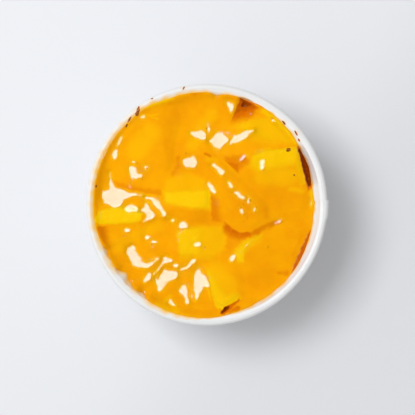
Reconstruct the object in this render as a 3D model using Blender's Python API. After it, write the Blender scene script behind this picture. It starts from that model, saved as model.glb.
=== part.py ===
"""A paper cup with a rolled rim, full of mango chunks in mango sauce. Metres, +Z up, base on Z = 0."""

import math

import bmesh
import bpy
from mathutils import Vector

MM = 0.001

# Cup
RIM_RADIUS = 49.0 * MM
BASE_RADIUS = 38.0 * MM
CUP_HEIGHT = 60.0 * MM
ROLL_RADIUS = 1.6 * MM
PAPER = 0.5 * MM
GAP = 0.3 * MM
HEM_HEIGHT = 5.0 * MM
HEM_FLOOR = 0.6 * MM
BASE_LEVEL = 6.2 * MM
FLANGE_FOOT = 1.0 * MM
ROUND_STEPS = 64
ROLL_STEPS = 10
# The roll's section, in degrees from its outermost point, and where the wall runs into it, in roll radii
ROLL_START = -110.0
ROLL_SWEEP = 290.0
ROLL_JOIN = 0.72

# Lap of the side seam, to the right of the cup, in degrees
SEAM_ANGLE = 2.2
SEAM_FULL = -5.0
SEAM_END = -9.0
SEAM_STEP = 0.45 * MM
SEAM_EDGE = 0.15
SEAM_SPACING = 1.2

# Contents: levels are below the rim's top
SAUCE_LEVEL = -3.6 * MM
SAUCE_TILT = -0.026
SAUCE_RINGS = 6
WAVE_HEIGHT = 0.35 * MM
WAVE_LENGTH_X = 17.0 * MM
WAVE_LENGTH_Y = 20.0 * MM
WAVE_START = 0.7
CHUNK_BEVEL = 1.7 * MM
CHUNK_CLEARANCE = 0.32 * MM
CHUNK_DRAFT = 0.86
BEVEL_STEPS = 2
HOLLOW_BEVEL = 0.3 * MM
HOLLOW_DRAFT = 0.8
HOLLOW_TOP = -1.0
SMOOTH_ANGLE = math.radians(50)

ROLL_CENTRE = (RIM_RADIUS - ROLL_RADIUS, CUP_HEIGHT - ROLL_RADIUS)
WALL_TOP_RADIUS = RIM_RADIUS - 2 * ROLL_RADIUS + PAPER
WALL_SLOPE = (WALL_TOP_RADIUS - BASE_RADIUS) / ROLL_CENTRE[1]

COLOURS = {
    "paper": (0.86, 0.86, 0.84, 1),
    "sauce": (0.93, 0.38, 0.004, 1),
    "mango": (0.95, 0.46, 0.006, 1),
}


def clear_scene():
    for obj in list(bpy.data.objects):
        bpy.data.objects.remove(obj, do_unlink=True)


def material(name, colour, roughness):
    mat = bpy.data.materials.new(name)
    mat.use_nodes = True
    shader = mat.node_tree.nodes["Principled BSDF"]
    shader.inputs["Base Color"].default_value = colour
    shader.inputs["Roughness"].default_value = roughness
    return mat


def finish_object(name, bm, mat):
    """Makes an object of a bmesh whose faces are turned outwards."""
    bmesh.ops.recalc_face_normals(bm, faces=bm.faces)
    mesh = bpy.data.meshes.new(name)
    bm.to_mesh(mesh)
    bm.free()
    mesh.shade_smooth()
    mesh.set_sharp_from_angle(angle=SMOOTH_ANGLE)
    obj = bpy.data.objects.new(name, mesh)
    bpy.context.scene.collection.objects.link(obj)
    if mat:
        mesh.materials.append(mat)
    return obj


def wall_outer(z):
    return BASE_RADIUS + WALL_SLOPE * z


def wall_inner(z):
    return wall_outer(z) - PAPER


def round_angles():
    """Even steps round the cup, in degrees."""
    return [360.0 * i / ROUND_STEPS for i in range(ROUND_STEPS)]


def seam_angles():
    """Even steps round the cup, with closer ones at the seam."""
    marks = [SEAM_ANGLE + SEAM_EDGE, SEAM_ANGLE - SEAM_EDGE, SEAM_FULL, SEAM_END]
    marks = [mark % 360 for mark in marks]
    away = []
    for angle in round_angles():
        if all(abs((angle - mark + 180) % 360 - 180) > SEAM_SPACING for mark in marks):
            away.append(angle)
    return sorted(away + marks)


def seam_lift(angle):
    """How far the lapped paper stands out at this angle."""
    turn = (angle + 180) % 360 - 180
    if turn >= SEAM_ANGLE or turn <= SEAM_END:
        return 0.0
    if turn >= SEAM_FULL:
        return SEAM_STEP
    return SEAM_STEP * (turn - SEAM_END) / (SEAM_FULL - SEAM_END)


def lathe(profile, angles, lift=None):
    """Turns a profile of (radius, height, share of the lift) round the Z axis. A radius of 0 is one point."""
    bm = bmesh.new()
    axis_points = {i: bm.verts.new((0, 0, z)) for i, (r, z, _) in enumerate(profile) if r == 0}
    rings = []
    for angle in angles:
        extra = lift(angle) if lift else 0.0
        c, s = math.cos(math.radians(angle)), math.sin(math.radians(angle))
        ring = []
        for i, (r, z, share) in enumerate(profile):
            wide = r + extra * share
            ring.append(axis_points[i] if i in axis_points else bm.verts.new((wide * c, wide * s, z)))
        rings.append(ring)
    pairs = [(i, (i + 1) % len(profile)) for i in range(len(profile))]
    pairs = [(i, j) for i, j in pairs if not (i in axis_points and j in axis_points)]
    for k, ring in enumerate(rings):
        following = rings[(k + 1) % len(rings)]
        for i, j in pairs:
            corners = [ring[i], ring[j], following[j], following[i]]
            bm.faces.new(dict.fromkeys(corners))
    return bm


def cup_wall(mat):
    """Tapered paper wall with a rolled rim above and a turned-in hem below."""
    cx, cz = ROLL_CENTRE
    channel = PAPER + 2 * GAP
    profile = [(wall_outer(0), 0, 1), (wall_outer(HEM_HEIGHT), HEM_HEIGHT, 1)]
    join = cz - ROLL_RADIUS * ROLL_JOIN
    profile.append((wall_outer(join), join, 1))
    for i in range(ROLL_STEPS + 1):
        turn = math.radians(ROLL_START + ROLL_SWEEP * i / ROLL_STEPS)
        share = 0.5 + 0.5 * math.cos(turn)
        profile.append((cx + ROLL_RADIUS * math.cos(turn), cz + ROLL_RADIUS * math.sin(turn), share))
    profile += [
        (wall_inner(BASE_LEVEL), BASE_LEVEL, 0),
        (wall_inner(HEM_FLOOR), HEM_FLOOR, 0),
        (wall_inner(HEM_FLOOR) - channel, HEM_FLOOR, 0),
        (wall_inner(HEM_HEIGHT) - channel, HEM_HEIGHT, 0),
        (wall_inner(HEM_HEIGHT) - channel - PAPER, HEM_HEIGHT, 0),
        (wall_inner(0) - channel - PAPER, 0, 0),
    ]
    return finish_object("cup_wall", lathe(profile, seam_angles(), seam_lift), mat)


def cup_base(mat):
    """Recessed paper disc whose turned-down edge sits in the hem."""
    top = BASE_LEVEL + PAPER
    profile = [
        (0, top, 0),
        (wall_inner(top) - GAP, top, 0),
        (wall_inner(FLANGE_FOOT) - GAP, FLANGE_FOOT, 0),
        (wall_inner(FLANGE_FOOT) - GAP - PAPER, FLANGE_FOOT, 0),
        (wall_inner(BASE_LEVEL) - GAP - PAPER, BASE_LEVEL, 0),
        (0, BASE_LEVEL, 0),
    ]
    return finish_object("cup_base", lathe(profile, round_angles()), mat)


def offset_outline(points, by):
    """Moves each side of a counter-clockwise outline outwards."""
    count = len(points)
    moved = []
    for i in range(count):
        before = (points[i] - points[i - 1]).normalized()
        after = (points[(i + 1) % count] - points[i]).normalized()
        out_before = Vector((before.y, -before.x))
        out_after = Vector((after.y, -after.x))
        along = out_before + out_after
        moved.append(points[i] + along * (2 * by / along.length_squared))
    return moved


def clamp_to_wall(point, z, room):
    """Keeps a point inside the cup."""
    most = wall_inner(min(z, ROLL_CENTRE[1])) - room
    reach = point.length
    return point * (most / reach) if reach > most else point


def block(outline, top, lean, depth, shift, draft, grow, bevel, inside=True):
    """Rounded block: a flat outline in millimetres, with a leaning top and a smaller foot moved by the shift.

    One that is inside stays clear of the cup's wall.
    """
    room = GAP + CHUNK_CLEARANCE - grow
    points = [Vector(p) * MM for p in outline]
    middle = sum(points, Vector((0, 0))) / len(points)
    top_z = CUP_HEIGHT + top * MM
    foot_z = top_z - depth * MM
    rim_points = offset_outline(points, grow)
    foot_points = [middle + (p - middle) * draft + Vector(shift) * MM for p in points]
    foot_points = offset_outline(foot_points, grow)
    bm = bmesh.new()
    upper = []
    lower = []
    for p in rim_points:
        away = p - middle
        z = top_z + lean[0] * away.x + lean[1] * away.y + grow
        p = clamp_to_wall(p, z, room) if inside else p
        upper.append(bm.verts.new((p.x, p.y, z)))
    for p in foot_points:
        p = clamp_to_wall(p, foot_z, room) if inside else p
        lower.append(bm.verts.new((p.x, p.y, foot_z - grow)))
    bm.faces.new(upper)
    bm.faces.new(list(reversed(lower)))
    count = len(upper)
    for i in range(count):
        j = (i + 1) % count
        bm.faces.new((lower[i], lower[j], upper[j], upper[i]))
    bmesh.ops.recalc_face_normals(bm, faces=bm.faces)
    bmesh.ops.bevel(
        bm,
        geom=list(bm.edges),
        offset=bevel,
        offset_type="OFFSET",
        segments=BEVEL_STEPS,
        profile=0.5,
        affect="EDGES",
        clamp_overlap=True,
    )
    return bm


# name: outline seen from above, counter-clockwise, in millimetres from the cup's axis;
# height of the top's middle below the rim, slope of the top along X and Y, thickness, shift of the foot
CHUNKS = {
    "mango_upper_left": (
        [(-16.6, 35.2), (-30, 34.8), (-38, 24), (-37.8, 9.5), (-30.5, 5.2), (-18.3, 7.2), (-14.6, 14.5)],
        -1.2, (0.01, 0.03), 16, (1, 0),
    ),
    "mango_top": (
        [(13.4, 42.4), (5, 44.5), (-7, 44.5), (-16, 41.2), (-15.6, 30.3), (0.5, 30.5), (9.6, 33.6)],
        -2.2, (0.04, 0.02), 15, (0, -2),
    ),
    "mango_upper_right": (
        [(36.2, 24.6), (28.8, 34.2), (21.8, 37), (10.5, 32), (1.2, 29.6), (0.4, 22), (8.3, 19.2), (21, 22.6)],
        -2.0, (-0.02, 0.04), 13, (-1, 0),
    ),
    "mango_right": (
        [(36.8, 23.4), (20.5, 21.6), (12.8, 17), (13.3, 12.6), (21.6, 1), (23.6, -5.9), (40.2, -3.4), (39.8, 7)],
        -1.5, (-0.05, 0.05), 18, (-2, 0),
    ),
    "mango_centre_slice": (
        [(4.8, 18.6), (-1.2, 19.0), (-2.2, 12.6), (2.4, 4.4), (5.0, -2.8), (10.4, -7.8), (17.6, -10.2),
         (21.8, -7), (22.2, -1.6), (18.6, 4.8), (11.6, 12)],
        -0.8, (0.0, 0.0), 13, (-1, 0),
    ),
    "mango_centre": (
        [(0.3, 7.6), (-8.8, 11.8), (-16.8, 11), (-17.8, 4.6), (-16.4, -2.6), (-5.6, -4), (0.8, -0.6)],
        -0.8, (0.01, -0.05), 17, (0, -1.2),
    ),
    "mango_upper_centre": (
        [(-0.9, 27.4), (-13.2, 28.8), (-13.6, 14.8), (-8.8, 12.8), (-3, 13.8)],
        -2.6, (-0.02, -0.04), 15, (0, 0),
    ),
    "mango_lower_centre": (
        [(6.8, -9.4), (0, -7), (-10.6, -9.4), (-12.4, -14.4), (-12.4, -21.2), (-4, -22.8), (5.4, -21.4), (7.4, -15.6)],
        -2.0, (-0.06, 0.02), 15, (0, 0),
    ),
    "mango_lower_right": (
        [(41.0, -8.2), (30, -9), (19.2, -13), (12.6, -19.8), (14.4, -24.2), (23.4, -27.8), (34.0, -27),
         (38.6, -15.8)],
        -2.4, (-0.06, 0.02), 15, (-1, 1),
    ),
    "mango_bottom": (
        [(13.8, -29.6), (6, -25), (-1.6, -25.8), (1.2, -35), (5.8, -42), (13, -37)],
        -2.4, (-0.03, -0.04), 14, (0, 1),
    ),
    "mango_bottom_right": (
        [(33.8, -29), (23.6, -29.6), (15.6, -28.6), (14.8, -36.2), (15.6, -42), (22, -40), (30, -34)],
        -3.5, (-0.03, 0.02), 14, (-1, 2),
    ),
    "mango_left_slice": (
        [(-25.6, -2.8), (-34, -0.6), (-43, -2.2), (-44.2, -6), (-40, -8.4), (-32.6, -8.4), (-25.2, -5.8)],
        -1.4, (0.01, -0.06), 12, (2, 0),
    ),
    "mango_left": (
        [(-26, -8.9), (-39.6, -9.3), (-38.4, -17.6), (-31, -19.8), (-25, -16)],
        -2.2, (0.03, 0.03), 13, (2, 0),
    ),
    "mango_lower_left": (
        [(-14.2, -5.2), (-22.8, -7.8), (-23.6, -15), (-20.4, -19), (-13.8, -17), (-13.6, -9.2)],
        -2.4, (0.0, 0.02), 13, (0, 0),
    ),
}

# Open hollows between the chunks and by the wall: outline in millimetres and depth below the rim
HOLLOWS = {
    "hollow_upper_right": ([(13.4, 42.6), (10.4, 35.2), (13.2, 34.6), (18.8, 37.2), (20.2, 39.6)], 8),
    "hollow_right": (
        [(42.4, 8.6), (42.2, 13.4), (40.9, 17.9), (38.5, 21.9), (36.2, 24.2), (36.6, 18), (38.8, 8), (41, 6.8)],
        9,
    ),
    "hollow_lower_right": (
        [(34.2, -27.4), (36.6, -25.4), (40.5, -18.2), (42.6, -11.2), (41.2, -9.8), (37.4, -17.4)],
        7,
    ),
    "hollow_bottom": (
        [(5.6, -43.4), (7.2, -43.8), (13.6, -40.4), (14.2, -37.6), (11.6, -37.6), (5.8, -41.6)],
        8,
    ),
    "hollow_centre": ([(6.4, -4.6), (6.8, -9.8), (9.8, -12.6), (14.2, -13.4), (15.2, -9.6), (11, -7)], 6),
}


def mango_chunk(name, mat, grow=0.0):
    outline, top, lean, depth, shift = CHUNKS[name]
    bm = block(outline, top, lean, depth, shift, CHUNK_DRAFT, grow, CHUNK_BEVEL)
    return finish_object(name if mat else name + "_room", bm, mat)


def hollow(name):
    outline, depth = HOLLOWS[name]
    height = depth + HOLLOW_TOP
    bm = block(outline, HOLLOW_TOP, (0, 0), height, (0, 0), HOLLOW_DRAFT, 0.0, HOLLOW_BEVEL, False)
    return finish_object(name, bm, None)


def sauce_height(x, y):
    """Level of the sauce: lower to the right, with slow waves."""
    along = math.sin(2 * math.pi * x / WAVE_LENGTH_X + WAVE_START)
    wave = along * math.cos(2 * math.pi * y / WAVE_LENGTH_Y)
    return CUP_HEIGHT + SAUCE_LEVEL + SAUCE_TILT * x + WAVE_HEIGHT * wave


def sauce(mat, cutters):
    """Sauce that fills the cup to the level shown, cut round the chunks and hollows."""
    floor = BASE_LEVEL + PAPER + GAP
    edge_z = CUP_HEIGHT + SAUCE_LEVEL
    edge_radius = wall_inner(edge_z) - GAP
    profile = [(0, edge_z, 0)]
    profile += [(edge_radius * i / SAUCE_RINGS, edge_z, 0) for i in range(1, SAUCE_RINGS + 1)]
    profile += [(wall_inner(floor) - GAP, floor, 0), (0, floor, 0)]
    bm = lathe(profile, round_angles())
    for vert in bm.verts:
        if vert.co.z > floor + MM:
            vert.co.z = sauce_height(vert.co.x, vert.co.y)
            reach = math.hypot(vert.co.x, vert.co.y)
            most = wall_inner(vert.co.z) - GAP
            if reach > most:
                vert.co.x *= most / reach
                vert.co.y *= most / reach
    obj = finish_object("sauce", bm, mat)
    for cutter in cutters:
        cutter.hide_render = True
        cutter.display_type = "WIRE"
        modifier = obj.modifiers.new("cut_" + cutter.name, "BOOLEAN")
        modifier.operation = "DIFFERENCE"
        modifier.solver = "EXACT"
        modifier.object = cutter
    return obj


def main():
    clear_scene()
    paper = material("cup_paper", COLOURS["paper"], 0.5)
    cup_wall(paper)
    cup_base(material("base_paper", COLOURS["paper"], 0.55))
    for name in CHUNKS:
        mango_chunk(name, material(name + "_flesh", COLOURS["mango"], 0.2))
    cutters = [mango_chunk(name, None, CHUNK_CLEARANCE) for name in CHUNKS]
    cutters += [hollow(name) for name in HOLLOWS]
    sauce(material("mango_sauce", COLOURS["sauce"], 0.12), cutters)


main()
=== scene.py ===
"""White paper cup full of mango chunks in glossy sauce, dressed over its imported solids. Metres, +Z up."""

import functools
import math

import bpy
import numpy as np
from bpy.props import FloatProperty, FloatVectorProperty, IntProperty, PointerProperty
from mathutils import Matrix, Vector
from mathutils.bvhtree import BVHTree


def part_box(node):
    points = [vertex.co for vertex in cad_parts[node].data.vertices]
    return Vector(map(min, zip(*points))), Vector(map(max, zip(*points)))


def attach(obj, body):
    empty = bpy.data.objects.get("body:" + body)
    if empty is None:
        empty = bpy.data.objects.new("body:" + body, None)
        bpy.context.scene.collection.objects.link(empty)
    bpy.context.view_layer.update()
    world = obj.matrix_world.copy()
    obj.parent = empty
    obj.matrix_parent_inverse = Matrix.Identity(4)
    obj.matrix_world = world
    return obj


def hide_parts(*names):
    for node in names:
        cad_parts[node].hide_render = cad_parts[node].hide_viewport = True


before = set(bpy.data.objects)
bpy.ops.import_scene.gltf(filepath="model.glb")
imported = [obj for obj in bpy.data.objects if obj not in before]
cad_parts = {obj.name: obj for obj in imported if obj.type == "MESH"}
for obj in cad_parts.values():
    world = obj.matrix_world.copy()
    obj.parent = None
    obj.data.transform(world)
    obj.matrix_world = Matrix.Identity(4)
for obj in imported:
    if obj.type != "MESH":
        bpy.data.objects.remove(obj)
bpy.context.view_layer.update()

bl_info = {
    "name": "Mango Cup",
    "version": (1, 0, 0),
    "blender": (4, 5, 0),
    "location": "3D View > Sidebar > Mango Cup",
    "description": "Paper cup of mango chunks in glossy sauce, with its studio stage",
    "category": "Add Mesh",
}

MM = 0.001
BODY = "root"
CHUNK_NODES = sorted(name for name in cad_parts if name.startswith("mango_"))
WALL_LOW, WALL_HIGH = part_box("cup_wall")
RIM_TOP = WALL_HIGH.z
RIM_RADIUS = -WALL_LOW.x
DEGREES = np.arange(360)
DOWN = Vector((0, 0, -1))

# Paper: play between two layers, and the angle from which an edge is sharp
PAPER_GAP = 0.3 * MM
SHARP_ANGLE = math.radians(40)

# Damp paper that stands in beside the food: where that starts below the rim's top, the least depth at which
# it is full, where it fades out again, and the most that it can be
DAMP_START = 0.2 * MM
DAMP_LEAST = 0.5 * MM
DAMP_FADE = (9 * MM, 16 * MM)
DAMP_MOST = 3 * MM

# How far inside the roll's lip the food's edge starts to climb the roll, and where it has climbed it
CLIMB_START = 1.6 * MM
CLIMB_END = 0.6 * MM

# How far the sauce reaches into the paper at its top, and how far it stays off it at its foot
TOP_TUCK = 0.06 * MM
FOOT_GAP = 0.1 * MM

# Wet places that turn to the light: strokes of (X, Y, radius) in millimetres from the cup's axis
GLINTS = {
    "pool at the left": [
        [(-41, 4.3, 1.6), (-40, 2.3, 2.1), (-37, 1.7, 2.9), (-36.4, 3.7, 2.7), (-33.7, 4, 1.8),
         (-31.7, 3.9, 1)],
        [(-31.9, 4, 0.8), (-29.5, 4.1, 0.4), (-26.2, 3.8, 0.3)],
        [(-39.2, 13.2, 0.3), (-38.9, 9.6, 0.4), (-38.2, 6.4, 1.2)],
        [(-32.7, -1.7, 0.9), (-30.7, -1.3, 1.5), (-28.5, -1.9, 0.9)],
        [(-24.4, 0.3, 0.6), (-24.4, -1.3, 1.1), (-23.8, -3, 1.1), (-22.6, -4.5, 1.4)],
        [(-26, -2.3, 0.8), (-24.6, -2.1, 1)],
        [(-24, -5.4, 0.6), (-25.2, -6.6, 0.3)],
        [(-24.6, 2.8, 0.5), (-22.2, 2.7, 0.4), (-20.6, 1.1, 1), (-19.8, -0.1, 1.1), (-18.5, -1.7, 0.6),
         (-17.3, -3.9, 1)],
    ],
    "upper left": [
        [(-30.3, 14.7, 1.1), (-29.7, 12.8, 1.5), (-28.7, 11.6, 1.2), (-26.6, 11.8, 0.6)],
        [(-29.7, 17.1, 0.4), (-29.7, 17, 0.4)],
        [(-25.2, 15.5, 0.3), (-24.2, 14.5, 0.4)],
        [(-34.5, 27.2, 0.4), (-35.3, 25.4, 0.5), (-36, 23.8, 0.2)],
        [(-37, 21.7, 0.5), (-37, 20.3, 1), (-37.1, 19.1, 0.7)],
        [(-26.2, 35.5, 0.4), (-25.4, 35.3, 0.4)],
    ],
    "top": [
        [(-6.6, 29, 0.5), (-4.4, 28.4, 1.2), (-2.1, 28.2, 1.7), (-1.1, 27.2, 0.9)],
        [(0.8, 30.7, 0.4), (0.8, 29.5, 0.5)],
        [(1.7, 25.8, 0.7), (3.1, 26.2, 1.5), (4.7, 26.2, 2.6), (4.3, 24.8, 2)],
        [(4.5, 28.8, 0.6), (4.5, 27, 1.6)],
        [(6.6, 26.4, 1.5), (8.8, 25.9, 0.6)],
        [(9.8, 25.6, 0.6), (12.2, 26.4, 1.4), (14.7, 27.9, 1.5), (16.7, 29.2, 1), (18.7, 30, 0.4)],
        [(-8.6, 17.5, 1.2), (-7, 17, 2), (-5.8, 16.7, 1.7)],
        [(-5.6, 19.5, 0.3), (-5.4, 17.7, 1.1)],
        [(8.4, 41.4, 0.5), (9.6, 40.4, 1), (10, 39.2, 1), (10, 37.7, 0.4)],
        [(26, 34.9, 0.4), (27.2, 33.9, 0.6)],
    ],
    "right": [
        [(22.3, 17.4, 0.9), (22.3, 16.1, 1.1), (22.4, 14.9, 0.7)],
        [(12.8, 18, 0.2), (14.3, 18.8, 0.35), (15.9, 19.8, 0.2)],
        [(20.1, 21.3, 0), (22.4, 21.9, 0), (25.2, 22.7, 0)],
        [(28, -7.4, 0.3), (29, -7, 0.5), (30.2, -6.1, 0.3)],
        [(10.7, -20.8, 0.7), (10.2, -22, 0.9), (10, -22.8, 0.5)],
        [(42.4, 1.3, 0.35), (42.4, -0.7, 0.35)],
    ],
    "centre slice": [
        [(2.5, 16.1, 0.6), (3.7, 15.3, 0.6), (4.9, 14.1, 0.9), (6, 13.2, 1.2)],
        [(0.5, 8.6, 0.5), (1.3, 7.6, 0.7), (2.3, 6.4, 0.9), (3.2, 5.1, 0.6)],
        [(8.7, 9.2, 0.4), (9.5, 8, 0.6), (10.2, 7.2, 0.5)],
        [(11.3, 4.9, 0.5), (12.4, 4.5, 0.7), (13.4, 3.4, 0.6), (14.7, 2.7, 0.6)],
        [(17.1, 2.4, 0.4), (17.1, 1.4, 0.6)],
        [(19.3, -1.6, 0.5), (19.3, -2, 0.5)],
        [(13.6, -1.3, 0.2), (14.3, -2.8, 0.6)],
    ],
    "lower middle": [
        [(-33.1, -10.2, 0.6), (-31.7, -10.4, 0.7)],
        [(-24.3, -13.1, 0.7), (-24.1, -13.3, 0.7)],
        [(-21.8, -15, 0.4), (-21, -15.2, 0.4)],
        [(-10.6, -8.6, 0.9), (-9.6, -8.1, 1.3), (-8.6, -8.6, 0.8)],
        [(-14.1, -6.4, 0.5), (-13.5, -6.4, 0.5)],
        [(-5, -16.1, 0.6), (-3.6, -16.2, 0.8), (-2.8, -16.3, 0.5)],
        [(-0.5, -17.7, 0.4), (-0.5, -17.9, 0.4)],
    ],
    "lower left": [
        [(-29.9, -17.1, 0.7), (-30.9, -18.9, 1.7), (-29.5, -21, 2), (-28.5, -23.2, 1.9),
         (-27.5, -24.2, 1.2)],
        [(-26.6, -24, 1), (-24.4, -25.1, 0.9), (-22.2, -23.4, 0.6), (-19.6, -22, 0.4)],
        [(-16.9, -21.6, 0.7), (-16.3, -22.6, 1), (-14.9, -22.6, 0.9)],
        [(-17.1, -23.2, 0.5), (-18.7, -24.8, 0.4), (-20.2, -26.8, 0.3), (-21.8, -28.5, 0.2)],
        [(-13.1, -24.2, 0.6), (-12.3, -24.8, 0.8)],
        [(-10.4, -26, 0.4), (-9.2, -26, 0.4), (-7.6, -25, 0.6), (-6.4, -23.8, 0.6), (-5.6, -22.8, 1)],
        [(-23.4, -28.5, 0.9), (-23.9, -29.5, 1.2), (-25, -30.9, 0.6)],
        [(-16.9, -27, 0.9), (-17.1, -29.3, 1.9), (-18.3, -31.7, 1.6), (-18.7, -33.9, 1.1)],
        [(-16.1, -29.2, 1.9), (-14.1, -28.7, 1.9), (-12.7, -28.7, 1.1)],
        [(-20.6, -30.1, 0.4), (-20, -32.5, 0.4)],
        [(-3.2, -26.4, 0.7), (-3.4, -28.9, 2), (-3.2, -31.3, 2), (-3.6, -34.1, 1.6), (-4, -36.6, 0.9),
         (-4.2, -38.6, 0.4)],
        [(-2.6, -29.5, 1.9), (-0.7, -31.5, 1.3), (0.3, -32.9, 0.7)],
        [(-9, -33.3, 0.9), (-9.6, -34.7, 1.6), (-8.6, -36.4, 0.7), (-8, -37.8, 0.6), (-7.8, -39.4, 0.7)],
        [(-14.3, -38.8, 0.5), (-14.5, -39.8, 0.9), (-13.1, -40.6, 0.6)],
    ],
}

# Yellow flesh under a thin film, and painted light on lit faces and edges: strength, softness in millimetres
# and a stroke
PALE_AND_LIT = {
    "bottom chunk's top": (0.4, 3.6, [(3.3, -26.4, 3.2), (8.6, -32.5, 3.6)]),
    "right chunk's middle": (0.45, 3.6, [(22.4, 11.6, 3.2), (33.7, 11.6, 4)]),
    "upper right chunk's top": (0.45, 3.2, [(19.5, 27, 2), (27.6, 27, 2.8)]),
    "edge at the upper right": (0.8, 1, [
        (22.8, 37.9, 0.8), (27.6, 34.3, 1), (32.9, 29, 0.8), (35.7, 25, 0.6)]),
    "edge at the top left": (0.8, 1, [(-24.2, 39.6, 0.6), (-19.8, 41.2, 0.8), (-14.1, 42.8, 0.6)]),
    "upper left chunk": (0.45, 3.6, [(-23, 29, 3.6), (-28.3, 22.1, 4)]),
    "right edge": (0.7, 1.2, [(42.4, 5.1, 1), (43, 0.7, 0.8)]),
    "between the glints": (0.45, 2.8, [(-6, 23.8, 2.4), (2.1, 36.7, 2.4)]),
    "right chunk's foot": (0.6, 2, [(34, 6.5, 1), (38.5, 5.5, 0.8)]),
    "corner of the centre chunk": (0.8, 0.8, [(-16.9, -4.4, 0.4), (-15.3, -5, 0.4)]),
    "beside the bottom glints": (0.5, 1.6, [(-17.3, -39.4, 0.8), (-14.9, -37, 0.6)]),
    "over the slice": (0.4, 2, [(0.5, 18.6, 1.2), (3.7, 17.8, 0.8)]),
    # The next three strokes are painted highlights: thin bright lines along wet edges
    "lines at the upper left": (1, 0.3, [(-26, 36.4, 0.1), (-22.4, 36, 0.2), (-19.4, 36.6, 0.1)]),
    "lower line at the upper left": (1, 0.3, [(-22.4, 35.2, 0.1), (-19.6, 34.8, 0.2)]),
    "bottom chunk's left edge": (1, 0.3, [(-0.7, -30.4, 0.2), (0.6, -34.6, 0.2), (1.7, -39.4, 0.1)]),
    "bottom edge": (0.5, 2, [(-19.8, -40.2, 1.2), (-12.5, -42.6, 1.2)]),
    "lower left": (0.35, 3.2, [(-35.1, -16.3, 2.8), (-31.9, -14.3, 2.4), (-19.8, -8.2, 2.4)]),
}

# Orange creases, partly thick sauce and partly painted shade, and dark hollows of painted shade: strength,
# softness in millimetres and a stroke
DEEP_SHADE = {
    "beside the upper centre": (0.3, 1.6, [(-11.7, 19.3, 0.8), (-11.5, 15.7, 1), (-13.7, 12.4, 0.8)]),
    "spot over the slice": (0.42, 0.6, [(-0.5, 20.7, 0.6), (1.5, 19.7, 0.6)]),
    "crease's right end": (0.3, 1.6, [(10.6, 17.7, 1.2), (15.9, 17.3, 0.8)]),
    "right of the slice's foot": (0.22, 2, [(24, -1.3, 0.8), (24.4, -5, 1.2)]),
    "below the left slice": (0.24, 2.4, [(-40.8, -10.2, 0.8), (-40, -15.1, 0.8)]),
    "left edge": (0.16, 2, [(-40.8, 18.9, 0.8), (-42.4, 13.2, 1.2), (-43.6, 6, 1.2), (-44.1, -0.5, 0.8)]),
    "dot at the left edge": (0.6, 0.6, [(-44.7, 7.8, 0.2), (-44.7, 7.2, 0.2)]),
    "beside the lower right edge": (0.18, 1.6, [(38.5, -12.3, 0.6), (34.9, -20.4, 0.6)]),
    "bottom hollow's side": (0.45, 0.8, [(9, -43.4, 0.4), (12.6, -41.8, 1)]),
    "under the hollow": (0.26, 1.6, [(11, 34.3, 0.6), (15.9, 35.1, 1.2), (20.3, 36.7, 0.6)]),
    "line by the wall": (0.62, 0.4, [(17.9, 41.7, 0.2), (20.7, 40.5, 0.3), (23, 39.2, 0.2)]),
    "slice": (0.14, 2.4, [(7.4, 7.2, 1.6), (13.4, 0.3, 3.2), (17.5, -3, 3.2)]),
    "top edge": (0.34, 0.6, [(-6.4, 44.6, 0.3), (-4, 44.7, 0.4), (-0.7, 44.8, 0.2)]),
    "upper left of the top": (0.16, 2, [(-14.9, 40.8, 1.2), (-9.2, 41.6, 0.8)]),
    "right of the upper left chunk": (0.14, 2.4, [(-16.5, 23.8, 1.6), (-14.1, 29.4, 1.2)]),
    "bottom right": (0.14, 3.2, [(13.4, -28.5, 2.4), (22.4, -34.5, 2.4), (28.8, -30.5, 2)]),
    "lower right corner": (0.32, 1.6, [(29, -27.8, 0.8), (32.5, -27.8, 1.2)]),
    "bottom hollow's edge": (0.45, 0.5, [(5.2, -42.2, 0.3), (6, -43.6, 0.3)]),
    "below the lower left chunk": (0.12, 2.8, [(-23, -18.3, 2), (-16.9, -16.3, 2)]),
}
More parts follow.
